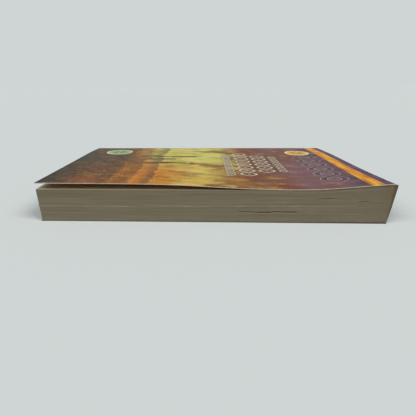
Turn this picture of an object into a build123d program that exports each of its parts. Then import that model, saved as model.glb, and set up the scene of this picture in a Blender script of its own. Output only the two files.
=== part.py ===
from build123d import *
import os

os.makedirs("parts", exist_ok=True)

# A paperback lies on its back cover, front cover up.
# +X runs along the book from foot to head, +Y from the fore edge to the spine, and +Z up from the table.

# The pages, bound at the spine and trimmed together on the other three sides
page_length = 174.6
page_width = 106.3
pages_thickness = 16.75

# The worn corner at head and fore edge: how far the top page curls up there, and reaches past the trim
corner_curl = 3.0
corner_reach = 1.6
corner_wear_radius = 0.8

# The card insert bound into the middle of the pages, cut short of them at the head
insert_short = 14.6
insert_thickness = 0.35
insert_level_share = 0.48

# Places at the fore edge where the pages part: middle along the book, level in the pages, length
parting_height = 0.26
parting_depth = 6.0
parting_shares = [(0.15, 0.33, 0.16), (0.3, 0.735, 0.03), (0.415, 0.655, 0.024)]

# The cover, one card folded twice round the pages, and the glue that holds the pages in its fold
card_thickness = 0.3
glue_thickness = 0.4

# The front cover springs up from the pages at the foot, and rides on their curled corner at the head
cover_spring = 2.65
cover_clearance = 0.25

# Sections across the book, from the fore edge to the spine, as shares of the page width,
# and points along each section, from foot to head, as shares of half the page length
across_shares = [0.0, 0.3, 0.6, 0.85, 1.0]
along_shares = [-1.0, -0.5, -0.15, 0.12, 0.38, 0.62, 0.8, 1.0]

# Shares of the corner's curl, of its reach past the trim, and of the cover's spring at those places
curl_shares = [
    [0, 0, 0, 0, 0, 0.1, 0.5, 1.0],
    [0, 0, 0, 0, 0, 0.04, 0.22, 0.47],
    [0, 0, 0, 0, 0, 0, 0.05, 0.14],
    [0, 0, 0, 0, 0, 0, 0, 0],
    [0, 0, 0, 0, 0, 0, 0, 0],
]
reach_shares = [1.0, 0.6, 0.3, 0.1, 0.0]
spring_shares = [
    [1.0, 0.96, 0.72, 0.27, 0, 0, 0, 0],
    [0.77, 0.69, 0.52, 0.3, 0.15, 0.14, 0.11, 0.15],
    [0.52, 0.46, 0.38, 0.29, 0.22, 0.22, 0.26, 0.34],
    [0.3, 0.27, 0.23, 0.2, 0.18, 0.18, 0.2, 0.26],
    [0, 0, 0, 0, 0, 0, 0, 0],
]

# Places that follow from the sizes above
book_length = page_length + corner_reach
book_width = page_width + glue_thickness + card_thickness
foot = -book_length / 2
head = foot + page_length
middle = (foot + head) / 2
fore_edge = -book_width / 2
bound_edge = fore_edge + page_width
spine_inside = bound_edge + glue_thickness
spine_outside = spine_inside + card_thickness
pages_bottom = card_thickness
pages_top = pages_bottom + pages_thickness
fold_top = pages_top + cover_clearance


def along_places(reach):
    """Places along one section, the last one past the head's trim by the reach."""
    places = [middle + share * page_length / 2 for share in along_shares]
    places[-1] = places[-1] + reach
    return places


def across_places(width):
    """Places of the sections from the fore edge, the last one at the full width."""
    places = [fore_edge + share * page_width for share in across_shares]
    places[-1] = fore_edge + width
    return places


def box_between(low, high, mode=Mode.ADD):
    """A box between two opposite corners."""
    size = [b - a for a, b in zip(low, high)]
    with Locations(low):
        Box(*size, align=(Align.MIN, Align.MIN, Align.MIN), mode=mode)


# Text block: the pages as one solid, lofted from the fore edge to the spine
with BuildPart() as text_block:
    for place, curls, reach_share in zip(across_places(page_width), curl_shares, reach_shares):
        tops = [
            (x, pages_top + corner_curl * share)
            for x, share in zip(along_places(corner_reach * reach_share), curls)
        ]
        with BuildSketch(Plane.XZ.offset(-place)):
            with BuildLine():
                Spline(*tops)
                Polyline(tops[-1], (head, pages_bottom), (foot, pages_bottom), tops[0])
            make_face()
    loft()

    # The two fore-edge corners are rubbed round by use
    corners = text_block.edges().filter_by_position(Axis.Y, fore_edge, fore_edge).sort_by(Axis.X)
    fillet([corners[0], corners[-1]], radius=corner_wear_radius)

    # The slot that the card insert fills
    insert_bottom = pages_bottom + insert_level_share * pages_thickness
    insert_top = insert_bottom + insert_thickness
    insert_head = head - insert_short
    box_between((foot, fore_edge, insert_bottom), (insert_head, bound_edge, insert_top), Mode.SUBTRACT)

    # Pages part a little at the fore edge, each place a slit with arched lips
    for place_share, level_share, length_share in parting_shares:
        half = page_length * length_share / 2
        place = middle + place_share * page_length
        level = pages_bottom + level_share * pages_thickness
        with BuildSketch(Plane.XZ.offset(-fore_edge)):
            with BuildLine():
                ThreePointArc((place - half, level), (place, level + parting_height), (place + half, level))
                Line((place + half, level), (place - half, level))
            make_face()
        extrude(amount=-parting_depth, mode=Mode.SUBTRACT)
text_block.part.label = "text_block"

# Insert card: a stiffer, paler leaf that fills its slot
with BuildPart() as insert_card:
    box_between((foot, fore_edge, insert_bottom), (insert_head, bound_edge, insert_top))
insert_card.part.label = "insert_card"

# Spine glue: the hot melt between the pages and the spine panel
with BuildPart() as spine_glue:
    box_between((foot, bound_edge, pages_bottom), (head, spine_inside, pages_top))
spine_glue.part.label = "spine_glue"

# Spine panel of the cover, between the two folds
with BuildPart() as cover_spine:
    box_between((foot, spine_inside, card_thickness), (head, spine_outside, fold_top))
cover_spine.part.label = "cover_spine"

# Back cover: the flat panel that the book lies on
with BuildPart() as back_cover:
    box_between((foot, fore_edge, 0), (head, spine_inside, card_thickness))
back_cover.part.label = "back_cover"

# Front cover: a sheet of even thickness, lofted from the fore edge to its fold
with BuildPart() as front_cover:
    cover_places = across_places(page_width + glue_thickness)
    for place, curls, springs in zip(cover_places, curl_shares, spring_shares):
        lifts = [corner_curl * curl + cover_spring * spring for curl, spring in zip(curls, springs)]
        inside = [(x, fold_top + lift) for x, lift in zip(along_places(0), lifts)]
        outside = [(x, z + card_thickness) for x, z in inside]
        with BuildSketch(Plane.XZ.offset(-place)):
            with BuildLine():
                Spline(*inside)
                Line(inside[-1], outside[-1])
                Spline(*outside)
                Line(outside[0], inside[0])
            make_face()
    loft()
front_cover.part.label = "front_cover"

for piece in (text_block, insert_card, spine_glue, cover_spine, back_cover, front_cover):
    export_step(piece.part, f"parts/{piece.part.label}.step")
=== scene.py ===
import math

import bpy
import numpy as np
from mathutils import Matrix, Vector


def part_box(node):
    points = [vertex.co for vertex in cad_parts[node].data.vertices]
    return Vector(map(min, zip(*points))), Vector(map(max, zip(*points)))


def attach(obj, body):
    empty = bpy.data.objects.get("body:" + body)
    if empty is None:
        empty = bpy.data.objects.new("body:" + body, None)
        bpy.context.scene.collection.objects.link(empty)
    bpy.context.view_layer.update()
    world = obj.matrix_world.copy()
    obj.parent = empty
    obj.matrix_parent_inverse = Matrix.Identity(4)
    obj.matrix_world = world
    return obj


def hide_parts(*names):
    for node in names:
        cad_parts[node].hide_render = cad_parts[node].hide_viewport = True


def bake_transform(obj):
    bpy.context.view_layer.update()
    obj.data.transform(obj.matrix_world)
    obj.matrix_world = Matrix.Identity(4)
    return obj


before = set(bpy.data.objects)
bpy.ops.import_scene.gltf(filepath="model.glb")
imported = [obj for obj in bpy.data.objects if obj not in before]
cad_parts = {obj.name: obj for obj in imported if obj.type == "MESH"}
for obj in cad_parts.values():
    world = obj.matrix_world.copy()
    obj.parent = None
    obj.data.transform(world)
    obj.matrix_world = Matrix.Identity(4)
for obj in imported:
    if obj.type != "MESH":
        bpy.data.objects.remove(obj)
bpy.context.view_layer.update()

# A paperback lies on its back cover, front cover up. +X runs along the book from foot to head, +Y from the
# fore edge to the spine, and +Z up from the table.
mm = 0.001


# Pages
# Some 167 leaves of groundwood paper, browned by age, are glued in a stack at the spine and trimmed
# together on the other three sides. The worn corner at head and fore edge is curled up past the trim.
pages_low, pages_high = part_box("text_block")
glue_low, glue_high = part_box("spine_glue")
foot, head = glue_low.x, glue_high.x
fore_edge, bound_edge = pages_low.y, pages_high.y
page_length, page_width = head - foot, bound_edge - fore_edge
middle = (foot + head) / 2
stack_height = glue_high.z - pages_low.z
leaf_count = 167
leaf_thickness = 0.085 * mm

# The corner: how far it lifts the top leaf and pushes it out, and the powers of a leaf's level by which the
# leaves below it follow. Its tip is rubbed round
corner_curl = pages_high.z - glue_high.z
corner_reach = pages_high.x - head
corner_wear = 0.2 * mm
curl_power, reach_power = 1.5, 0.6

# Shares of the curl and of the reach, from the fore edge to the spine, and along the page from foot to head
across_shares = [0.0, 0.3, 0.6, 0.85, 1.0]
along_shares = [-1.0, -0.5, -0.15, 0.12, 0.38, 0.62, 0.8, 1.0]
curl_shares = [
    [0, 0, 0, 0, 0, 0.1, 0.5, 1.0],
    [0, 0, 0, 0, 0, 0.04, 0.22, 0.47],
    [0, 0, 0, 0, 0, 0, 0.05, 0.14],
    [0, 0, 0, 0, 0, 0, 0, 0],
    [0, 0, 0, 0, 0, 0, 0, 0],
]
reach_shares = [1.0, 0.6, 0.3, 0.1, 0.0]

# Use has also pushed the lowest leaves in from both ends, and swelled the stack towards the head
foot_lean, head_lean = 0.6 * mm, 0.3 * mm
swell = 0.28 * mm
swell_shares = [[-1, -0.6, 0.1, 0.5, 1, 0.9, 0.6, 0.6]] * len(across_shares)


def spline_weights(places, at):
    """How much each place's value counts where a natural cubic spline through them all is read."""
    places = np.array(places, float)
    gaps = np.diff(places)
    count = len(places)
    bend, pull = np.eye(count), np.zeros((count, count))
    for i in range(1, count - 1):
        bend[i, i - 1 : i + 2] = gaps[i - 1], 2 * (gaps[i - 1] + gaps[i]), gaps[i]
        pull[i, i - 1 : i + 2] = 3 / gaps[i - 1], -3 / gaps[i - 1] - 3 / gaps[i], 3 / gaps[i]
    second = np.linalg.solve(bend, pull)
    value = np.eye(count)
    span = np.clip(np.searchsorted(places, at, side="right") - 1, 0, count - 2)
    along = (np.asarray(at) - places[span])[:, None]
    gap = gaps[span][:, None]
    low, high = second[span], second[span + 1]
    slope = (value[span + 1] - value[span]) / gap - gap * (2 * low + high) / 3
    return value[span] + along * (slope + along * (low + along * (high - low) / (3 * gap)))


def weights_across(y):
    """How much each row of a table of shares counts at places across the page."""
    return spline_weights(across_shares, (np.asarray(y) - fore_edge) / page_width)


def shares_over(table, x, y):
    """A table of shares made a smooth surface, read at a grid of places along x and across y."""
    along = spline_weights(along_shares, (np.asarray(x) - middle) / (page_length / 2))
    return along @ np.array(table, float).T @ weights_across(y).T


def link_object(name, data):
    """A new object in the scene."""
    made = bpy.data.objects.new(name, data)
    bpy.context.scene.collection.objects.link(made)
    return made


def slab(name, lower, upper, flat=None):
    """A closed sheet between two grids of points. Its faces take slot 0 above, 1 below and 2 at the edges,
    and flat, if given, is the place of each grid point on the sheet before it was bent, as a UV map."""
    rows, columns = lower.shape[:2]
    number = np.arange(rows * columns).reshape(rows, columns)
    top = number + rows * columns
    quads, slots = [], []
    for i in range(rows - 1):
        for j in range(columns - 1):
            corners = [(i, j), (i + 1, j), (i + 1, j + 1), (i, j + 1)]
            quads.append([top[c] for c in corners])
            quads.append([number[c] for c in reversed(corners)])
            slots += [0, 1]
    rim = [(i, 0) for i in range(rows)]
    rim += [(rows - 1, j) for j in range(1, columns)]
    rim += [(i, columns - 1) for i in range(rows - 2, -1, -1)]
    rim += [(0, j) for j in range(columns - 2, 0, -1)]
    for a, b in zip(rim, rim[1:] + rim[:1]):
        quads.append([number[a], number[b], top[b], top[a]])
        slots.append(2)
    mesh = bpy.data.meshes.new(name)
    points = np.concatenate([lower.reshape(-1, 3), upper.reshape(-1, 3)])
    mesh.from_pydata(points.tolist(), [], [[int(v) for v in quad] for quad in quads])
    mesh.polygons.foreach_set("material_index", slots)
    if flat is not None:
        places = np.concatenate([flat.reshape(-1, 2)] * 2)
        corner_vertices = np.zeros(len(mesh.loops), int)
        mesh.loops.foreach_get("vertex_index", corner_vertices)
        mesh.uv_layers.new(name="flat").data.foreach_set("uv", places[corner_vertices].ravel())
    mesh.update()
    return link_object(name, mesh)


def smooth_faces(piece, crease=35):
    """Shades a piece smooth, with its edges left crisp."""
    piece.data.polygons.foreach_set("use_smooth", [True] * len(piece.data.polygons))
    piece.data.set_sharp_from_angle(angle=math.radians(crease))


# One leaf is a closed sheet, with its worn corner rubbed round. Its grid is finer where leaves part
even_x = np.linspace(foot, head - corner_wear, 17)
parted_x = middle + page_length * np.linspace(0.07, 0.25, 14)
head_x = middle + page_length * np.array([0.28, 0.296, 0.312, 0.328, 0.345, 0.405, 0.418, 0.434, 0.45])
leaf_x = np.unique(np.concatenate([even_x, parted_x, head_x, [head]]).round(5))
inner_y = fore_edge + page_width * np.array([0.04, 0.13, 0.34, 0.66, 1])
leaf_y = np.concatenate([[fore_edge, fore_edge + corner_wear], inner_y])
looseness = (bound_edge - leaf_y) / page_width
rounding = corner_wear * (1 - math.sqrt(0.5))
grid_x, grid_y = np.meshgrid(leaf_x, leaf_y, indexing="ij")
grid_x[-1, 0] -= rounding
grid_y[-1, 0] += rounding
leaf_low = np.stack([grid_x, grid_y, np.zeros_like(grid_x)], axis=2)
leaf = slab("leaf", leaf_low, leaf_low + [0, 0, leaf_thickness])


def set_shares(name, values):
    """Keeps a share for each grid point of the leaf, below and above, for the stack to read."""
    attribute = leaf.data.attributes.new(name, "FLOAT", "POINT")
    attribute.data.foreach_set("value", np.concatenate([values.ravel()] * 2).astype(np.float32))


reach_along = np.clip((leaf_x - middle) / (page_length / 2), 0, 1) ** 2
set_shares("curl", shares_over(curl_shares, leaf_x, leaf_y))
set_shares("reach", np.outer(reach_along, weights_across(leaf_y) @ np.array(reach_shares)))
set_shares("loose", np.outer(np.ones(len(leaf_x)), looseness))
set_shares("swell", shares_over(swell_shares, leaf_x, leaf_y))

# Leaves part where the insert card has its own room, and where the fore edge has opened. Each parting has a
# level in the stack, a gap's height and depth, a middle and a half length along the book, and a spread: how
# far up and down the stack the leaves give way to it
insert_low, insert_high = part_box("insert_card")
insert_level = ((insert_low.z + insert_high.z) / 2 - pages_low.z) / stack_height
parting_fade = 2.2 * mm
insert_reach = insert_high.x - foot - parting_fade
insert_gap, insert_depth, insert_spread = insert_high.z - insert_low.z, page_width * 9, 0.16
partings = [(insert_level, insert_gap, insert_depth, foot, insert_reach, insert_spread)]
opened_depth, opened_spread = 6 * mm, 0.025
for place_share, half, gap_level, gap_height in (
    (0.1, 3.6, 0.318, 0.6), (0.153, 2.6, 0.302, 0.85), (0.188, 1.6, 0.325, 0.6),
    (0.222, 3.2, 0.314, 0.8), (0.316, 2.4, 0.725, 0.5), (0.425, 1.0, 0.606, 0.6),
):
    gap_middle = middle + place_share * page_length
    partings.append((gap_level, gap_height * mm, opened_depth, gap_middle, half * mm, opened_spread))


def opened_at(x, gap_middle, gap_half):
    """How far a parting is open along the book, from 1 at its middle to 0 where the leaves lie close."""
    opened = np.clip((gap_half + parting_fade - np.abs(x - gap_middle)) / parting_fade, 0, 1)
    return opened * opened * (3 - 2 * opened)


for number, (_, _, gap_depth, gap_middle, gap_half, _) in enumerate(partings):
    into_stack = np.exp(-(leaf_y - fore_edge) / gap_depth)
    set_shares(f"parting {number}", np.outer(opened_at(leaf_x, gap_middle, gap_half), into_stack))


def add_node(tree, kind, inputs=None, **settings):
    """A node with its settings, and its inputs linked or set."""
    node = tree.nodes.new(kind)
    for key, value in settings.items():
        setattr(node, key, value)
    for key, value in (inputs or {}).items():
        if isinstance(value, bpy.types.NodeSocket):
            tree.links.new(value, node.inputs[key])
        else:
            node.inputs[key].default_value = value
    return node


def calculate(tree, operation, *values):
    """One sum on numbers or other nodes' outputs."""
    return add_node(tree, "ShaderNodeMath", dict(enumerate(values)), operation=operation).outputs[0]


def minus(tree, value, less):
    """One value less another."""
    return calculate(tree, "SUBTRACT", value, less)


def times(tree, *values):
    """Values or masks multiplied together."""
    product = values[0]
    for value in values[1:]:
        product = calculate(tree, "MULTIPLY", product, value)
    return product


# The stack: the leaf repeated, each one with its level, its tone and its trims, then put in its place
stack = bpy.data.node_groups.new("leaf stack", "GeometryNodeTree")
stack.interface.new_socket("Leaf", in_out="INPUT", socket_type="NodeSocketGeometry")
stack_inputs = {
    "Leaves": ("NodeSocketInt", leaf_count),
    "Stack height": ("NodeSocketFloat", stack_height - leaf_thickness),
    "Corner curl": ("NodeSocketFloat", corner_curl),
    "Corner reach": ("NodeSocketFloat", corner_reach),
    "Foot lean": ("NodeSocketFloat", foot_lean),
    "Head lean": ("NodeSocketFloat", head_lean),
    "Swell": ("NodeSocketFloat", swell),
    "Trim scatter": ("NodeSocketFloat", 0.1 * mm),
    "Waviness": ("NodeSocketFloat", 0.05 * mm),
    "Seed": ("NodeSocketInt", 7),
    "Paper": ("NodeSocketMaterial", None),
}
for name, (kind, value) in stack_inputs.items():
    stack.interface.new_socket(name, in_out="INPUT", socket_type=kind)
stack.interface.new_socket("Pages", in_out="OUTPUT", socket_type="NodeSocketGeometry")
given = stack.nodes.new("NodeGroupInput").outputs
one_leaf = add_node(stack, "GeometryNodeGeometryToInstance", {0: given["Leaf"]})
leaves = add_node(
    stack, "GeometryNodeDuplicateElements",
    {"Geometry": one_leaf.outputs[0], "Amount": given["Leaves"]}, domain="INSTANCE",
)
leaf_number = leaves.outputs["Duplicate Index"]
tones = {"level": calculate(stack, "DIVIDE", leaf_number, minus(stack, given["Leaves"], 1))}
for shift, name in enumerate(("tone", "trim along", "trim across")):
    seed = calculate(stack, "ADD", given["Seed"], shift)
    scatter = add_node(
        stack, "FunctionNodeRandomValue", {"ID": leaf_number, "Seed": seed}, data_type="FLOAT"
    )
    tones[name] = scatter.outputs[1]
kept = leaves.outputs["Geometry"]
for name, value in tones.items():
    kept = add_node(
        stack, "GeometryNodeStoreNamedAttribute",
        {"Geometry": kept, "Name": name, "Value": value}, data_type="FLOAT", domain="INSTANCE",
    ).outputs[0]
pages = add_node(stack, "GeometryNodeRealizeInstances", {0: kept}).outputs[0]


def stored(name):
    """A share or tone that the leaf carries."""
    return add_node(stack, "GeometryNodeInputNamedAttribute", {"Name": name}, data_type="FLOAT").outputs[0]


leaf_level = stored("level")
rise = times(stack, leaf_level, given["Stack height"])
lifted = times(stack, calculate(stack, "POWER", leaf_level, curl_power), given["Corner curl"])
rise = calculate(stack, "MULTIPLY_ADD", lifted, stored("curl"), rise)
for number, (gap_level, gap_height, _, _, _, spread) in enumerate(partings):
    above = minus(stack, leaf_level, gap_level)
    away = calculate(stack, "DIVIDE", calculate(stack, "ABSOLUTE", above), -spread)
    pushed = times(
        stack, calculate(stack, "SIGN", above), calculate(stack, "EXPONENT", away), gap_height / 2
    )
    rise = calculate(stack, "MULTIPLY_ADD", pushed, stored(f"parting {number}"), rise)

# Leaves wave a little and swell where nothing holds them, so not at the spine, the top or the bottom
waves_along, waves_across, waves_upward = 30, 14, 30
below_top = minus(stack, 1, leaf_level)
inside_stack = times(stack, leaf_level, 4, below_top)
position = add_node(stack, "GeometryNodeInputPosition").outputs[0]
pulled = add_node(
    stack, "ShaderNodeVectorMath", {0: position, 1: (waves_along, waves_across, 0)}, operation="MULTIPLY"
)
level_only = add_node(stack, "ShaderNodeCombineXYZ", {2: times(stack, leaf_level, waves_upward)})
wave_place = add_node(
    stack, "ShaderNodeVectorMath", {0: pulled.outputs[0], 1: level_only.outputs[0]}, operation="ADD"
).outputs[0]
wave = add_node(stack, "ShaderNodeTexNoise", {"Vector": wave_place, "Scale": 1.0, "Detail": 1.0})
to_and_fro = minus(stack, wave.outputs["Fac"], 0.5)
waved = times(stack, to_and_fro, given["Waviness"], inside_stack, stored("loose"))
rise = calculate(stack, "ADD", rise, waved)
swelled = times(stack, stored("swell"), given["Swell"], inside_stack)
rise = calculate(stack, "MULTIPLY_ADD", swelled, stored("loose"), rise)

# Each leaf's trims are its own, and the lowest leaves lean in from both ends
reached = times(stack, calculate(stack, "POWER", leaf_level, reach_power), given["Corner reach"])
reached = times(stack, reached, stored("reach"))
from_middle = add_node(stack, "ShaderNodeSeparateXYZ", {0: position}).outputs[0]
sideways = calculate(stack, "DIVIDE", minus(stack, from_middle, middle), page_length / 2)
cut_along = times(stack, stored("trim along"), given["Trim scatter"], sideways)
reached = minus(stack, reached, cut_along)
for name, operation in (("Foot lean", "MINIMUM"), ("Head lean", "MAXIMUM")):
    towards_end = calculate(stack, operation, sideways, 0)
    reached = minus(stack, reached, times(stack, below_top, given[name], towards_end))
cut_across = times(stack, stored("trim across"), given["Trim scatter"], stored("loose"))
moved = add_node(stack, "ShaderNodeCombineXYZ", {0: reached, 1: cut_across, 2: rise}).outputs[0]
placed = add_node(stack, "GeometryNodeSetPosition", {"Geometry": pages, "Offset": moved})
finished = add_node(
    stack, "GeometryNodeSetMaterial", {"Geometry": placed.outputs[0], "Material": given["Paper"]}
)
stack.links.new(finished.outputs[0], stack.nodes.new("NodeGroupOutput").inputs[0])


def srgb(red, green, blue):
    """A colour as a paint card gives it, 0 to 255, in the renderer's own linear values."""
    values = [c / 255 for c in (red, green, blue)]
    return [c / 12.92 if c < 0.04045 else ((c + 0.055) / 1.055) ** 2.4 for c in values] + [1]


def new_material(name):
    """A material with an empty finish, and its tree."""
    material = bpy.data.materials.new(name)
    material.use_nodes = True
    return material, material.node_tree, material.node_tree.nodes["Principled BSDF"]


def set_finish(tree, finish, colour, **numbers):
    """Links a material's colour, and sets numbers that are the same all over it."""
    tree.links.new(colour, finish.inputs["Base Color"])
    for key, number in numbers.items():
        finish.inputs[key.replace("_", " ")].default_value = number


def set_bump(tree, finish, height, strength, distance):
    """Gives a material the light and shade of small forms."""
    inputs = {"Height": height, "Strength": strength, "Distance": distance}
    tree.links.new(add_node(tree, "ShaderNodeBump", inputs).outputs[0], finish.inputs["Normal"])


def object_place(tree):
    """A place on the piece, in metres and in millimetres."""
    here = add_node(tree, "ShaderNodeTexCoord").outputs["Object"]
    scaled = add_node(tree, "ShaderNodeVectorMath", {0: here, "Scale": 1 / mm}, operation="SCALE")
    return here, scaled.outputs[0]


def split(tree, place):
    """The three numbers of a place."""
    return add_node(tree, "ShaderNodeSeparateXYZ", {0: place}).outputs


def mixed(tree, factor, first, second):
    """Two colours mixed, each a value or another node's output."""
    return add_node(tree, "ShaderNodeMix", {0: factor, 6: first, 7: second}, data_type="RGBA").outputs[2]


def noise(tree, place, scale, detail=3.0, stretch=(1, 1, 1), swirl=0.0):
    """Cloudy grey noise on a place, with its size in millimetres, pulled out along one or more axes."""
    pull = [1 / (scale * s) for s in stretch]
    sized = add_node(tree, "ShaderNodeVectorMath", {0: place, 1: pull}, operation="MULTIPLY")
    inputs = {"Vector": sized.outputs[0], "Scale": 1.0, "Detail": detail, "Distortion": swirl}
    return add_node(tree, "ShaderNodeTexNoise", inputs).outputs[0]


def in_range(tree, value, low, high, to_low=0.0, to_high=1.0):
    """A value's range stretched to another, smoothly and with its ends held."""
    inputs = {0: value, 1: low, 2: high, 3: to_low, 4: to_high}
    return add_node(tree, "ShaderNodeMapRange", inputs, interpolation_type="SMOOTHSTEP").outputs[0]


def carried(tree, name):
    """A tone or level that the mesh carries."""
    return add_node(tree, "ShaderNodeAttribute", attribute_name=name).outputs["Fac"]


# Groundwood paper: its cut edges are a dark tan, with the streaks of the knife and each leaf's own tone.
# Their tone is partly the paper's own browning and partly painted shade, much darker than the face
paper, tree, finish = new_material("groundwood_paper")
here, here_mm = object_place(tree)
x, y, z = split(tree, here)
streaks = noise(tree, here_mm, 1.0, 3, (60, 60, 0.42))
fine_streaks = in_range(tree, noise(tree, here_mm, 1.0, 2, (16, 16, 0.2)), 0.35, 0.65, 0, 0.5)
leaf_tone = in_range(tree, carried(tree, "tone"), 0, 1, 0, 0.35)
edge_colour = mixed(tree, in_range(tree, streaks, 0.3, 0.7), srgb(112, 103, 82), srgb(133, 124, 102))
edge_colour = mixed(tree, fine_streaks, edge_colour, srgb(90, 81, 61))
edge_colour = mixed(tree, leaf_tone, edge_colour, srgb(148, 138, 114))

# The face of a leaf is paler, with foxing. It is browner towards its trims, and greyer at their rim.
# Dark brown just in from the fore edge is partly browning and partly painted shadow of the front cover
from_fore = minus(tree, y, fore_edge)
off_end = minus(tree, page_length / 2, calculate(tree, "ABSOLUTE", minus(tree, x, middle)))
nearest = calculate(tree, "MINIMUM", from_fore, off_end)
off_trim = calculate(tree, "MULTIPLY_ADD", noise(tree, here_mm, 9), 6 * mm, nearest)
mottle = in_range(tree, noise(tree, here_mm, 0.5, 2), 0.3, 0.7, 0, 0.25)
foxing = times(
    tree, in_range(tree, noise(tree, here_mm, 1.8, 3), 0.66, 0.76),
    in_range(tree, noise(tree, here_mm, 24), 0.46, 0.62, 0, 0.5),
)
face_colour = mixed(tree, noise(tree, here_mm, 18), srgb(198, 186, 156), srgb(212, 201, 174))
face_colour = mixed(tree, mottle, face_colour, srgb(176, 160, 126))
face_colour = mixed(tree, foxing, face_colour, srgb(160, 116, 68))
browning_and_shade = in_range(tree, off_trim, 3 * mm, 20 * mm, 1, 0)
face_colour = mixed(tree, browning_and_shade, face_colour, srgb(192, 172, 138))
# Painted shadow of the front cover over browning: dark brown up to 1 mm in from the fore edge, gone by 4.6
# mm
browning_and_shade = in_range(tree, from_fore, 1 * mm, 4.6 * mm, 0.72, 0)
face_colour = mixed(tree, browning_and_shade, face_colour, srgb(122, 98, 68))
rim = calculate(tree, "MINIMUM", times(tree, off_end, 0.1), from_fore)
rim = in_range(tree, rim, 0.2 * mm, 0.9 * mm, 0.9, 0)
face_colour = mixed(tree, rim, face_colour, srgb(165, 159, 140))
normal = add_node(tree, "ShaderNodeNewGeometry").outputs["Normal"]
flat_face = in_range(tree, calculate(tree, "ABSOLUTE", split(tree, normal)[2]), 0.4, 0.8)
cut_face = minus(tree, 1, flat_face)
# Cut faces take the edge colour, with its painted shade, and flat faces take the paler face colour
colour = mixed(tree, flat_face, edge_colour, face_colour)

# The paper is browner towards the worn corner, more so higher up, and darkest at its rounded tip.
# Painted shadow darkens the top leaves' cut edge just under the cover's edge, and painted shade the lowest
# leaves' cut edge along the table, most towards the head
off_corner = calculate(tree, "MAXIMUM", minus(tree, head, x), from_fore)
darker_near_corner = in_range(tree, z, 4 * mm, 18 * mm, 0.12, 0.4)
darker_near_corner = times(tree, darker_near_corner, in_range(tree, off_corner, 0, 7 * mm, 1, 0))
colour = mixed(tree, darker_near_corner, colour, srgb(126, 102, 68))
corner_tip = in_range(tree, off_corner, 0.1 * mm, 0.7 * mm, 0.4, 0)
colour = mixed(tree, corner_tip, colour, srgb(66, 54, 36))
# Painted shadow of the cover's edge on the top leaves' cut edge, growing from 48 to 62 mm and held to the
# head
top_leaf = in_range(tree, carried(tree, "level"), 0.97, 0.995)
cover_edge_shadow = times(tree, top_leaf, in_range(tree, x, 48 * mm, 62 * mm, 0, 0.6))
colour = mixed(tree, times(tree, cover_edge_shadow, cut_face), colour, srgb(74, 60, 38))
# Painted shade on the lowest leaves' cut edge where the stack meets the back cover: light all along,
# deepening from 44 to 66 mm and deep from there to the head
lowest = in_range(tree, z, 0.35 * mm, 1.1 * mm, 0.85, 0)
base_shade = times(tree, lowest, in_range(tree, x, 44 * mm, 66 * mm))
base_shade = calculate(tree, "MAXIMUM", base_shade, times(tree, lowest, 0.3))
colour = mixed(tree, times(tree, base_shade, cut_face), colour, srgb(52, 45, 33))
set_finish(tree, finish, colour, Roughness=0.9, Specular_IOR_Level=0.25)
set_bump(tree, finish, noise(tree, here_mm, 0.35, 2), 0.25, 0.02 * mm)

# The leaf is stacked, and the stack kept as a plain mesh in place of the leaf
modifier = leaf.modifiers.new("stack", "NODES")
modifier.node_group = stack
for item in stack.interface.items_tree:
    if item.in_out == "INPUT" and item.name in stack_inputs:
        modifier[item.identifier] = paper if item.name == "Paper" else stack_inputs[item.name][1]
stacked = bpy.data.meshes.new_from_object(leaf.evaluated_get(bpy.context.evaluated_depsgraph_get()))
bpy.data.meshes.remove(leaf.data)
stacked.name = "page_stack"
stacked.materials.clear()
stacked.materials.append(paper)
stacked.transform(Matrix.Translation((0, 0, pages_low.z)))
page_stack = link_object("page_stack", stacked)
smooth_faces(page_stack)
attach(page_stack, "page_block")
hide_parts("text_block")


# Insert card
# A leaf of stiffer, paler stock is bound into the middle of the pages, and cut a little short at the head.
# It lies in the room that the leaves leave for it, and follows their curl and swell.
insert_stock, tree, finish = new_material("insert_stock")
here, here_mm = object_place(tree)
showing = in_range(tree, noise(tree, here_mm, 1.0, 2, (9, 9, 0.8)), 0.42, 0.66)
showing = times(tree, showing, in_range(tree, split(tree, here)[0], 40 * mm, 66 * mm, 1, 0.25))
colour = mixed(tree, showing, srgb(120, 115, 100), srgb(138, 140, 132))
set_finish(tree, finish, colour, Roughness=0.8)
even_x = np.linspace(foot, insert_high.x - parting_fade, 33)
insert_x = np.concatenate([even_x, insert_high.x - parting_fade * np.array([0.7, 0.4, 0])])
insert_curl = corner_curl * insert_level ** curl_power * shares_over(curl_shares, insert_x, leaf_y)
insert_swell = shares_over(swell_shares, insert_x, leaf_y) * (bound_edge - leaf_y) / page_width
insert_lift = insert_curl + swell * 4 * insert_level * (1 - insert_level) * insert_swell
insert_middle = pages_low.z + insert_level * stack_height + insert_lift
pinch = np.maximum(opened_at(insert_x, foot, insert_reach), 0.15)[:, None]
insert_half = (insert_high.z - insert_low.z) / 2 * pinch
grid_x, grid_y = np.meshgrid(insert_x, leaf_y, indexing="ij")
faces = [np.stack([grid_x, grid_y, insert_middle + side * insert_half], axis=2) for side in (-1, 1)]
insert = slab("insert", *faces)
insert.data.materials.append(insert_stock)
insert.data.polygons.foreach_set("material_index", [0] * len(insert.data.polygons))
smooth_faces(insert)
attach(insert, "page_block")
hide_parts("insert_card")


# Spine glue
# Hot melt, laid on the roughened edge of the stack, holds the pages in the fold of the cover. Its CAD solid
# has the right shape, and only gets its material here.
hot_melt, tree, finish = new_material("hot_melt")
here, here_mm = object_place(tree)
colour = mixed(tree, noise(tree, here_mm, 2.0), srgb(196, 178, 138), srgb(222, 208, 172))
set_finish(tree, finish, colour, Roughness=0.45)
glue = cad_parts["spine_glue"]
glue.data.materials.clear()
glue.data.materials.append(hot_melt)


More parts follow.
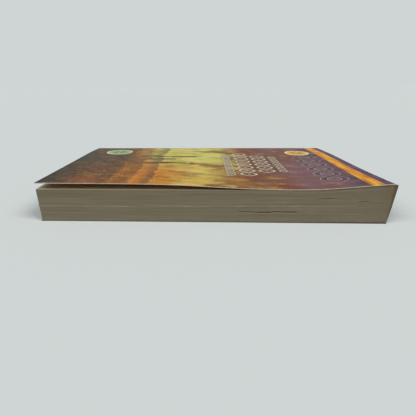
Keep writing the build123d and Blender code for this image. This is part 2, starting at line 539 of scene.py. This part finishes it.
# Cover
# One sheet of card, printed and varnished outside and bare inside, is folded twice round the pages and
# trimmed with them. The front springs up at the foot, and at the head it rides on their curled corner.
spine_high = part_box("cover_spine")[1]
spine_face, fold_top = spine_high.y, spine_high.z
card_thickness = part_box("back_cover")[1].z
cover_spring = 2.82 * mm
spring_shares = [
    [1.0, 0.96, 0.72, 0.27, 0, 0, 0, 0],
    [0.77, 0.69, 0.52, 0.3, 0.15, 0.14, 0.11, 0.15],
    [0.52, 0.46, 0.38, 0.29, 0.22, 0.22, 0.26, 0.34],
    [0.3, 0.27, 0.23, 0.2, 0.18, 0.18, 0.2, 0.26],
    [0, 0, 0, 0, 0, 0, 0, 0],
]
fold_radius = 0.45 * mm
inner_radius = fold_radius - card_thickness
fold_y = spine_face - fold_radius
spine_middle = (fold_top + card_thickness) / 2

# Half of the sheet runs from a panel's trim, over the fold, to the middle of the spine
fold_run = fold_radius * math.pi / 2
half_sheet = fold_y - fore_edge + fold_run + fold_top + card_thickness - fold_radius - spine_middle

# Places along and across the panel, closer together near the fold, and the angles of the fold's own bend
near_fold = np.array([0.15, 0.35, 0.7, 1.2, 1.9, 3.0]) * mm
card_x = np.linspace(foot, head, 65)
panel_y = np.concatenate([np.linspace(fore_edge, fold_y - 5 * mm, 34), (fold_y - near_fold)[::-1]])
fold_angles = np.linspace(0, math.pi / 2, 7)


def card_piece(name, lifts, z_sign):
    """Half of the folded card: a panel with its lifts, the fold, and the spine down to its middle.
    z_sign is 1 for the front cover's half and -1 for the back cover's, which is its mirror image."""
    outer_z = fold_top + card_thickness if z_sign > 0 else 0.0
    fold_z = outer_z - z_sign * fold_radius
    spine_z = np.linspace(fold_z, spine_middle, 16)[1:]
    lower, upper, flat = [], [], []
    for i, x in enumerate(card_x):
        inside = [(y, outer_z - z_sign * card_thickness + lift) for y, lift in zip(panel_y, lifts[i])]
        outside = [(y, outer_z + lift) for y, lift in zip(panel_y, lifts[i])]
        for radius, line in ((inner_radius, inside), (fold_radius, outside)):
            for angle in fold_angles:
                across, down = radius * math.sin(angle), z_sign * radius * math.cos(angle)
                line.append((fold_y + across, fold_z + down))
            line += [(fold_y + radius, z) for z in spine_z]
        lower.append([(x, y, z) for y, z in inside])
        upper.append([(x, y, z) for y, z in outside])
        run = np.concatenate([[0], np.cumsum(np.hypot(*np.diff(np.array(outside), axis=0).T))])
        flat.append([(x - foot, half_sheet + z_sign * (along - run[-1])) for along in run])
    lower, upper, flat = (np.array(a) for a in (lower, upper, flat))
    if z_sign < 0:
        lower, upper, flat = lower[:, ::-1], upper[:, ::-1], flat[:, ::-1]
    return slab(name, lower, upper, flat / mm)


front_lifts = corner_curl * shares_over(curl_shares, card_x, panel_y)
front_lifts = front_lifts + cover_spring * shares_over(spring_shares, card_x, panel_y)

# Its foot corner is turned up a little more at the tip
tip_lift, tip_along, tip_across = 0.15 * mm, 16 * mm, 26 * mm
towards_foot = np.clip(1 - (card_x - foot) / tip_along, 0, 1)
towards_fore = np.clip(1 - (panel_y - fore_edge) / tip_across, 0, 1)
front_lifts = front_lifts + tip_lift * np.outer(towards_foot, towards_fore) ** 1.5
front_card = card_piece("front_card", front_lifts, 1)
back_card = card_piece("back_card", np.zeros_like(front_lifts), -1)

# The print, in millimetres on the flat card: u from foot to head, v from the front's fore edge, over the
# spine, to the back's. The front has a hazy evening sky over low hills and reeds, with bands of ornament
cover_print, tree, finish = new_material("cover_print")
flat_place = add_node(tree, "ShaderNodeUVMap", uv_map="flat").outputs[0]
u, v, _ = split(tree, flat_place)
front_width = (fold_y - fore_edge) / mm
sheet_width = 2 * half_sheet / mm
sheet_length = page_length / mm


def ramp_of(tree, value, stops):
    """Colours run into each other along a value, each at its place in millimetres."""
    node = add_node(tree, "ShaderNodeValToRGB", {0: calculate(tree, "DIVIDE", value, sheet_length)})
    marks = node.color_ramp.elements
    for mark, (place, stop) in zip((marks[0], marks[1]), (stops[0], stops[-1])):
        mark.position, mark.color = place / sheet_length, srgb(*stop)
    for place, stop in stops[1:-1]:
        marks.new(place / sheet_length).color = srgb(*stop)
    return node.outputs[0]


def swayed(tree, value, place, scale, reach, stretch=(1, 1, 1), detail=3.0):
    """A value pushed to and fro by cloudy noise, by no more than reach."""
    push = minus(tree, noise(tree, place, scale, detail, stretch), 0.5)
    return calculate(tree, "MULTIPLY_ADD", push, 2 * reach, value)


# Sky: brown and amber at the foot, then olive yellow, rust, and mauve and purple at the head
drift = swayed(tree, u, flat_place, 34, 12, detail=4.0)
drift = swayed(tree, drift, flat_place, 11, 6, (1.8, 1, 1), 5.0)
colour = ramp_of(tree, drift, [
    (4, (46, 32, 12)), (30, (102, 58, 8)), (48, (206, 122, 2)), (64, (188, 124, 18)), (84, (194, 172, 74)),
    (98, (160, 114, 50)), (112, (114, 60, 34)), (140, (98, 62, 58)), (164, (74, 50, 72)),
])
inward = in_range(tree, swayed(tree, v, flat_place, 18, 24, (3, 1, 1)), 20, 80)
olive = times(tree, inward, in_range(tree, drift, 36, 56), in_range(tree, drift, 92, 112, 1, 0))
colour = mixed(tree, times(tree, olive, 0.75), colour, srgb(192, 200, 98))
dusk = times(tree, inward, in_range(tree, drift, 20, 46, 1, 0))
colour = mixed(tree, times(tree, dusk, 0.6), colour, srgb(66, 55, 28))
rust = in_range(tree, noise(tree, flat_place, 19, 5, (1.5, 1, 1), 0.8), 0.5, 0.64)
rust = times(tree, rust, in_range(tree, u, 58, 76), in_range(tree, u, 140, 156, 1, 0))
colour = mixed(tree, times(tree, rust, 0.85), colour, srgb(110, 50, 24))
bright = in_range(tree, noise(tree, flat_place, 13, 5, (1.7, 1, 1), 0.6), 0.5, 0.66)
bright = times(tree, bright, in_range(tree, u, 54, 72), in_range(tree, u, 96, 122, 1, 0))
colour = mixed(tree, times(tree, bright, 0.75), colour, srgb(216, 196, 110))
brush = noise(tree, flat_place, 6, 5, (2.4, 1, 1), 0.5)
colour = mixed(tree, in_range(tree, brush, 0.32, 0.54, 0.45, 0), colour, srgb(66, 36, 28))
colour = mixed(tree, in_range(tree, brush, 0.54, 0.74, 0, 0.34), colour, srgb(224, 172, 80))

# Short strokes of the brush, strongest at the foot, where the pale ones fade out
strokes = noise(tree, flat_place, 1.5, 4, (0.6, 3.6, 1), 0.3)
stroke_share = in_range(tree, u, 38, 62, 0.45, 0.14)
off_foot = in_range(tree, u, 4, 24, 0.3, 1)
dark_stroke = times(tree, in_range(tree, strokes, 0.3, 0.5, 1, 0), stroke_share)
pale_stroke = times(tree, in_range(tree, strokes, 0.52, 0.72), stroke_share, off_foot)
colour = mixed(tree, dark_stroke, colour, srgb(60, 38, 18))
colour = mixed(tree, pale_stroke, colour, srgb(214, 164, 66))

# Low sun on the ground at the foot, near the fore edge, and a paler dusk in the mauve
low_sun = times(
    tree, in_range(tree, swayed(tree, v, flat_place, 12, 7, (3, 1, 1)), 6, 20, 1, 0),
    in_range(tree, drift, 6, 18), in_range(tree, drift, 34, 46, 1, 0),
)
colour = mixed(tree, times(tree, low_sun, 0.5), colour, srgb(168, 96, 30))
paler = times(
    tree, in_range(tree, drift, 122, 136), in_range(tree, drift, 150, 164, 1, 0),
    in_range(tree, v, 44, 70, 1, 0),
)
colour = mixed(tree, times(tree, paler, 0.45), colour, srgb(124, 90, 100))

# Hills: three low ridges with trees along them, each dark along its top and hazy below, in stippled ground.
# Each has its height, how far and how widely it sways, its shade, and its own place in the noise
for base, sway, scale, shade in ((58, 5, 26, 0.6), (47, 6, 17, 0.45), (35, 7, 22, 0.5)):
    along_ridge = add_node(tree, "ShaderNodeCombineXYZ", {1: v, 0: base * 7}).outputs[0]
    ridge = swayed(tree, base, along_ridge, scale, sway, detail=2.0)
    ridge = swayed(tree, ridge, along_ridge, 6.5, 4.0, detail=3.0)
    below = minus(tree, ridge, swayed(tree, u, flat_place, 1.3, 1.4))
    haze = times(tree, in_range(tree, below, -0.2, 0.4), in_range(tree, below, 2.0, 10.0, 1, 0.1))
    colour = mixed(tree, times(tree, haze, shade), colour, srgb(50, 38, 20))
    sunlit = times(tree, in_range(tree, below, -1.2, -0.3), in_range(tree, below, -0.1, 0.4, 1, 0))
    colour = mixed(tree, times(tree, sunlit, 0.12), colour, srgb(228, 184, 92))
stipple = in_range(tree, noise(tree, flat_place, 1.3, 3), 0.46, 0.62)
ground = in_range(tree, u, 34, 58, 1, 0)
colour = mixed(tree, times(tree, stipple, ground, 0.5), colour, srgb(40, 30, 16))
glint = in_range(tree, noise(tree, flat_place, 3.4, 4, (2, 1, 1)), 0.52, 0.66)
colour = mixed(tree, times(tree, glint, ground, off_foot, 0.45), colour, srgb(170, 108, 30))

# Reeds: thin blades that grow from the foot, and bulrushes among them
reed_pitch = 4.6
cell = calculate(tree, "DIVIDE", swayed(tree, v, flat_place, 60, 6), reed_pitch)
reed_random = add_node(
    tree, "ShaderNodeTexWhiteNoise", {"W": calculate(tree, "FLOOR", cell)}, noise_dimensions="1D"
).outputs[0]
clump = times(tree, in_range(tree, v, 44, 56), in_range(tree, v, 70, 84, 1, 0))
reed_height = times(tree, clump, calculate(tree, "MULTIPLY_ADD", reed_random, 40, 26))
off_reed = calculate(tree, "ABSOLUTE", minus(tree, calculate(tree, "FRACT", cell), 0.5))
up_reed = calculate(tree, "DIVIDE", u, calculate(tree, "MAXIMUM", reed_height, 1))
reed_half_width = times(tree, minus(tree, 1, up_reed), 1.3)
reed_edge = minus(tree, reed_half_width, times(tree, off_reed, reed_pitch))
colour = mixed(tree, in_range(tree, reed_edge, -0.05, 0.2, 0, 0.75), colour, srgb(48, 42, 34))
for stem, top, lean in ((47, 66, 3), (53, 78, -4), (60, 70, 2), (66, 84, 5), (73, 62, -3)):
    squared = calculate(tree, "POWER", calculate(tree, "DIVIDE", u, top), 2)
    stem_v = calculate(tree, "MULTIPLY_ADD", squared, lean, stem)
    off_stem = calculate(tree, "ABSOLUTE", minus(tree, v, stem_v))
    stalk = times(tree, in_range(tree, off_stem, 0.4, 0.7, 1, 0), in_range(tree, u, top - 0.5, top, 1, 0))
    past_spike = minus(tree, calculate(tree, "ABSOLUTE", minus(tree, u, top - 13)), 7.5)
    past_spike = calculate(tree, "MAXIMUM", past_spike, 0)
    off_spike = add_node(tree, "ShaderNodeCombineXYZ", {0: past_spike, 1: off_stem}).outputs[0]
    off_spike = add_node(tree, "ShaderNodeVectorMath", {0: off_spike}, operation="LENGTH").outputs["Value"]
    drawn = calculate(tree, "MAXIMUM", stalk, in_range(tree, off_spike, 1.5, 1.9, 1, 0))
    colour = mixed(tree, times(tree, drawn, 0.85), colour, srgb(52, 42, 36))


def roundel(tree, colour, centre, radius, face, rim, ink, petals):
    """A round spot with a paler rim, on the print, and in it a rosette of so many petals round an eye."""
    off_centre = add_node(
        tree, "ShaderNodeVectorMath", {0: flat_place, 1: (*centre, 0)}, operation="SUBTRACT"
    ).outputs[0]
    out = add_node(tree, "ShaderNodeVectorMath", {0: off_centre}, operation="LENGTH").outputs["Value"]
    colour = mixed(tree, in_range(tree, out, radius - 0.2, radius + 0.2, 1, 0), colour, rim)
    colour = mixed(tree, in_range(tree, out, radius * 0.84, radius * 0.88, 1, 0), colour, face)
    along, across, _ = split(tree, off_centre)
    around = calculate(tree, "ARCTAN2", across, along)
    lobe = calculate(tree, "ABSOLUTE", calculate(tree, "COSINE", times(tree, around, petals / 2)))
    off_petal = minus(tree, out, times(tree, calculate(tree, "SQRT", lobe), radius * 0.68))
    off_eye = in_range(tree, out, radius * 0.2, radius * 0.26)
    petal = times(tree, in_range(tree, off_petal, -0.3, 0.3, 1, 0), off_eye)
    return mixed(tree, times(tree, petal, 0.7), colour, ink)


moss = mixed(tree, noise(tree, flat_place, 4), srgb(120, 148, 96), srgb(168, 190, 138))
colour = roundel(tree, colour, (22, 86), 9.5, moss, srgb(196, 206, 170), srgb(62, 84, 52), 6)
honey = mixed(tree, noise(tree, flat_place, 4), srgb(200, 140, 44), srgb(230, 196, 110))
colour = roundel(tree, colour, (152, 84), 8.5, honey, srgb(232, 206, 140), srgb(128, 62, 26), 8)


def braid(tree, colour, centre, reach, pitch, eyes, strand, ink, outline):
    """Two strands that cross every half pitch along v, with a lozenge in each eye between them."""
    first, last = eyes[0] * pitch / 2, eyes[1] * pitch / 2
    inside = times(tree, in_range(tree, v, first - 0.4, first), in_range(tree, v, last, last + 0.4, 1, 0))
    wave = times(tree, calculate(tree, "SINE", times(tree, v, 2 * math.pi / pitch)), reach)
    off_centre = calculate(tree, "ABSOLUTE", minus(tree, u, centre))
    off_strands = minus(tree, off_centre, calculate(tree, "ABSOLUTE", wave))
    off_strands = calculate(tree, "ABSOLUTE", off_strands)
    eye = calculate(tree, "FRACT", calculate(tree, "DIVIDE", v, pitch / 2))
    off_eye = times(tree, calculate(tree, "ABSOLUTE", minus(tree, eye, 0.5)), pitch / reach)
    lozenge = calculate(tree, "ADD", off_eye, calculate(tree, "DIVIDE", off_centre, reach))
    for edge, tint, share in ((strand + 0.6, outline, 0.85), (strand, ink, 0.9)):
        line = in_range(tree, off_strands, edge - 0.15, edge + 0.15, 1, 0)
        core = in_range(tree, lozenge, edge / reach + 0.12, edge / reach + 0.2, 1, 0)
        drawn = times(tree, calculate(tree, "MAXIMUM", line, core), inside, share)
        colour = mixed(tree, drawn, colour, tint)
    return colour


# Ornament: braids in cream with dark outlines across the front, and a dark one below the stripe
cream, umber = srgb(208, 200, 172), srgb(58, 44, 36)
colour = braid(tree, colour, 99.5, 2.3, 9, (5, 17), 0.45, cream, umber)
colour = braid(tree, colour, 109.5, 4.3, 15, (3, 11), 0.65, cream, umber)
colour = braid(tree, colour, 121, 4.3, 15, (4, 10), 0.65, cream, umber)
colour = braid(tree, colour, 130.5, 2.1, 9, (7, 16), 0.4, cream, umber)
colour = braid(tree, colour, 152.5, 5.4, 21, (1, 7), 1.5, srgb(34, 24, 44), srgb(176, 146, 140))

# The orange stripe with its row of pale beads, and the purple margin at the head
stripe_low, stripe_high, soft = 164.1, 170.3, 0.15
bead_pitch, bead_reach = 3.4, 1.2
stripe_streaks = in_range(tree, noise(tree, flat_place, 5, 5, (0.6, 2.6, 1)), 0.35, 0.65)
stripe_colour = mixed(tree, stripe_streaks, srgb(186, 104, 0), srgb(222, 158, 0))
off_bead = minus(tree, calculate(tree, "FRACT", calculate(tree, "DIVIDE", v, bead_pitch)), 0.5)
off_bead = times(tree, calculate(tree, "ABSOLUTE", off_bead), bead_pitch)
off_line = calculate(tree, "ABSOLUTE", minus(tree, u, (stripe_low + stripe_high) / 2))
off_bead = calculate(tree, "ADD", off_bead, off_line)
bead = in_range(tree, off_bead, bead_reach - 0.2, bead_reach + 0.2, 0.32, 0)
stripe_colour = mixed(tree, bead, stripe_colour, srgb(240, 200, 110))
colour = mixed(tree, in_range(tree, u, stripe_low - soft, stripe_low + soft), colour, stripe_colour)
margin_streaks = in_range(tree, noise(tree, flat_place, 3, 4, (0.7, 3, 1)), 0.35, 0.65)
margin_colour = mixed(tree, margin_streaks, srgb(68, 46, 72), srgb(92, 66, 92))
colour = mixed(tree, in_range(tree, u, stripe_high - soft, stripe_high + soft), colour, margin_colour)

# The spine and the back are plain, in the front's own brown and mauve
plain = mixed(tree, noise(tree, flat_place, 30, 4), srgb(98, 66, 60), srgb(94, 68, 88))
plain = mixed(tree, in_range(tree, brush, 0.3, 0.7, 0.25, 0), plain, srgb(54, 34, 36))
colour = mixed(tree, in_range(tree, v, front_width - 0.4, front_width + 0.4), colour, plain)


def off_nearest_trim(tree, u, v, foot_too):
    """How far a place on the sheet is in from its nearest trim, the foot's among them if asked."""
    off_sides = calculate(tree, "MINIMUM", v, minus(tree, sheet_width, v))
    off_head = calculate(tree, "MINIMUM", off_sides, minus(tree, sheet_length, u))
    return calculate(tree, "MINIMUM", off_head, u) if foot_too else off_head


# The print is darker along the foot trim. Wear: the ink is rubbed through along the trims and folds, and
# scuffed here and there
dark_foot_trim = in_range(tree, swayed(tree, u, flat_place, 8, 0.6), 0.9, 2.6, 0.95, 0)
colour = mixed(tree, dark_foot_trim, colour, srgb(24, 19, 13))
fold_inset = 0.35
off_front_fold = calculate(tree, "ABSOLUTE", minus(tree, v, front_width + fold_inset))
off_back_fold = calculate(tree, "ABSOLUTE", minus(tree, v, sheet_width - front_width - fold_inset))
off_folds = calculate(tree, "MINIMUM", off_front_fold, off_back_fold)
rub = noise(tree, flat_place, 3.0, 5)
near_trims = calculate(tree, "MULTIPLY_ADD", rub, -1.3, off_nearest_trim(tree, u, v, False))
near_folds = calculate(tree, "MULTIPLY_ADD", rub, -1.5, off_folds)
scuffs = times(
    tree, in_range(tree, noise(tree, flat_place, 1.4, 4, (9, 1, 1)), 0.7, 0.8),
    in_range(tree, noise(tree, flat_place, 22), 0.5, 0.65),
)
rubbed = in_range(tree, near_trims, -0.62, -0.3, 0.9, 0)
rubbed = calculate(tree, "MAXIMUM", rubbed, in_range(tree, near_folds, -0.75, -0.3, 0.8, 0))
rubbed = calculate(tree, "MAXIMUM", rubbed, times(tree, scuffs, 0.35))
colour = mixed(tree, rubbed, colour, srgb(206, 194, 174))
set_finish(tree, finish, colour, Specular_IOR_Level=0.06)

# The varnish is a little uneven, and gone where the ink is rubbed through
gloss = in_range(tree, noise(tree, flat_place, 6, 4, (2, 1, 1)), 0.3, 0.7, 0.36, 0.46)
tree.links.new(calculate(tree, "MULTIPLY_ADD", rubbed, 0.3, gloss), finish.inputs["Roughness"])
grain = noise(tree, flat_place, 0.5, 2)
ripple = calculate(tree, "MULTIPLY_ADD", grain, 0.12, noise(tree, flat_place, 9, 2))
set_bump(tree, finish, ripple, 0.3, 0.06 * mm)

# The inside is bare white card, with foxing, browned and grubby along its trims
bare_card, tree, finish = new_material("bare_card")
inside_place = add_node(tree, "ShaderNodeUVMap", uv_map="flat").outputs[0]
mottle = in_range(tree, noise(tree, inside_place, 0.5, 2), 0.3, 0.7, 0, 0.18)
foxing = times(
    tree, in_range(tree, noise(tree, inside_place, 1.6, 3), 0.66, 0.76),
    in_range(tree, noise(tree, inside_place, 26), 0.46, 0.62), 0.45,
)
colour = mixed(tree, noise(tree, inside_place, 25), srgb(214, 208, 194), srgb(228, 223, 211))
colour = mixed(tree, mottle, colour, srgb(188, 178, 158))
colour = mixed(tree, foxing, colour, srgb(176, 132, 84))
inside_u, inside_v, _ = split(tree, inside_place)
off_trims = off_nearest_trim(tree, inside_u, inside_v, True)
browning_and_shade = in_range(tree, swayed(tree, off_trims, inside_place, 9, 3), 1, 16, 1, 0)
colour = mixed(tree, browning_and_shade, colour, srgb(186, 146, 104))
colour = mixed(tree, in_range(tree, off_trims, 0.2, 1.2, 0.85, 0), colour, srgb(112, 100, 80))
set_finish(tree, finish, colour, Roughness=0.75)
set_bump(tree, finish, noise(tree, inside_place, 0.4, 2), 0.2, 0.02 * mm)

# The cut edge of the card is pale on the front. On the back, where it lies on the table, it is darker, and
# darkest towards the head: painted shade where the card meets the table
cut_card, tree, finish = new_material("cut_card")
edge_place = add_node(tree, "ShaderNodeUVMap", uv_map="flat").outputs[0]
edge_u, edge_v, _ = split(tree, edge_place)
colour = mixed(tree, noise(tree, edge_place, 2), srgb(162, 142, 114), srgb(206, 186, 160))
towards_head = in_range(tree, swayed(tree, edge_u, edge_place, 12, 10), 100, 140)
back_edge_shade = mixed(tree, towards_head, srgb(98, 91, 75), srgb(44, 38, 28))
on_back = in_range(tree, edge_v, half_sheet / mm, half_sheet / mm + 2)
colour = mixed(tree, on_back, colour, back_edge_shade)
colour = mixed(tree, in_range(tree, edge_u, 2.5, 5.5, 0.85, 0), colour, srgb(58, 48, 34))
set_finish(tree, finish, colour, Roughness=0.85)

# Each half of the card takes its three finishes and smooth shading, and stands in for the CAD covers
for piece in (front_card, back_card):
    for material in (cover_print, bare_card, cut_card):
        piece.data.materials.append(material)
    smooth_faces(piece)
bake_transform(front_card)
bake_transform(back_card)
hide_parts("front_cover", "cover_spine")
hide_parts("back_cover")


# Table
# A plain pale surface, painted matt, carries the book and takes its shadow. The book only lies on it. It
# reaches far past the view, so that no border of it shows.
table_reach = 12.0
table_colour = srgb(207, 213, 212)
table_corners = [(a * table_reach, b * table_reach, 0) for a, b in ((-1, -1), (1, -1), (1, 1), (-1, 1))]
table_mesh = bpy.data.meshes.new("table")
table_mesh.from_pydata(table_corners, [], [(0, 1, 2, 3)])
table = link_object("table", table_mesh)
table_finish, tree, finish = new_material("pale_table")
finish.inputs["Base Color"].default_value = table_colour
finish.inputs["Roughness"].default_value = 0.9
finish.inputs["Specular IOR Level"].default_value = 0.1
table_mesh.materials.append(table_finish)


# Light
# Two soft lamps stand before the book, one to each side, and an even pale room fills the shadows. Together
# they light a level surface so that its colour renders as it is written: their shares add up to 1.
lamp_colour = (1.0, 0.995, 0.985)
room_share, room_tint = 0.2, (0.97, 1.0, 1.03)
lamps = (("head_side", 0.43, 48, 60, 30), ("foot_side", 0.37, 45, -52, 40))
for name, share, height, turn, spread in lamps:
    lamp_data = bpy.data.lights.new(name, "SUN")
    lamp_data.angle = math.radians(spread)
    lamp_data.energy = share * math.pi / math.sin(math.radians(height))
    lamp_data.color = lamp_colour
    lamp = link_object(name, lamp_data)
    lamp.rotation_euler = (math.radians(90 - height), 0, math.radians(turn))
room = bpy.data.worlds.new("room")
bpy.context.scene.world = room
room.use_nodes = True
tree = room.node_tree
seen = add_node(tree, "ShaderNodeLightPath").outputs
shown = calculate(tree, "MAXIMUM", seen["Is Camera Ray"], seen["Is Glossy Ray"])
shown = calculate(tree, "MAXIMUM", shown, seen["Is Transmission Ray"])
fill = [room_share * c for c in room_tint] + [1]
tree.links.new(mixed(tree, shown, fill, table_colour), tree.nodes["Background"].inputs["Color"])


# Camera
# It stands over the fore edge, a little to the foot's side, and looks down on the book at about 21 degrees.
# The picture was cropped off centre, so the lens is shifted.
camera_place = (-6.4 * mm, -199.2 * mm, 65.0 * mm)
camera_turn, camera_tilt, camera_roll = 2.41, 21.45, -0.48
focal_pixels, frame_pixels, centre_pixel = 313.4, 416, 187.0
camera_data = bpy.data.cameras.new("camera")
camera_data.sensor_width = 36
camera_data.lens = focal_pixels / frame_pixels * camera_data.sensor_width
camera_data.shift_x = (frame_pixels / 2 - centre_pixel) / frame_pixels
camera_data.clip_start = 10 * mm
camera = link_object("camera", camera_data)
turned = Matrix.Rotation(math.radians(camera_turn), 4, "Z")
tilted = Matrix.Rotation(math.radians(90 - camera_tilt), 4, "X")
rolled = Matrix.Rotation(math.radians(camera_roll), 4, "Z")
camera.matrix_world = Matrix.Translation(camera_place) @ turned @ tilted @ rolled
bpy.context.scene.camera = camera
bpy.context.scene.view_settings.view_transform = "Standard"

bpy.context.view_layer.update()
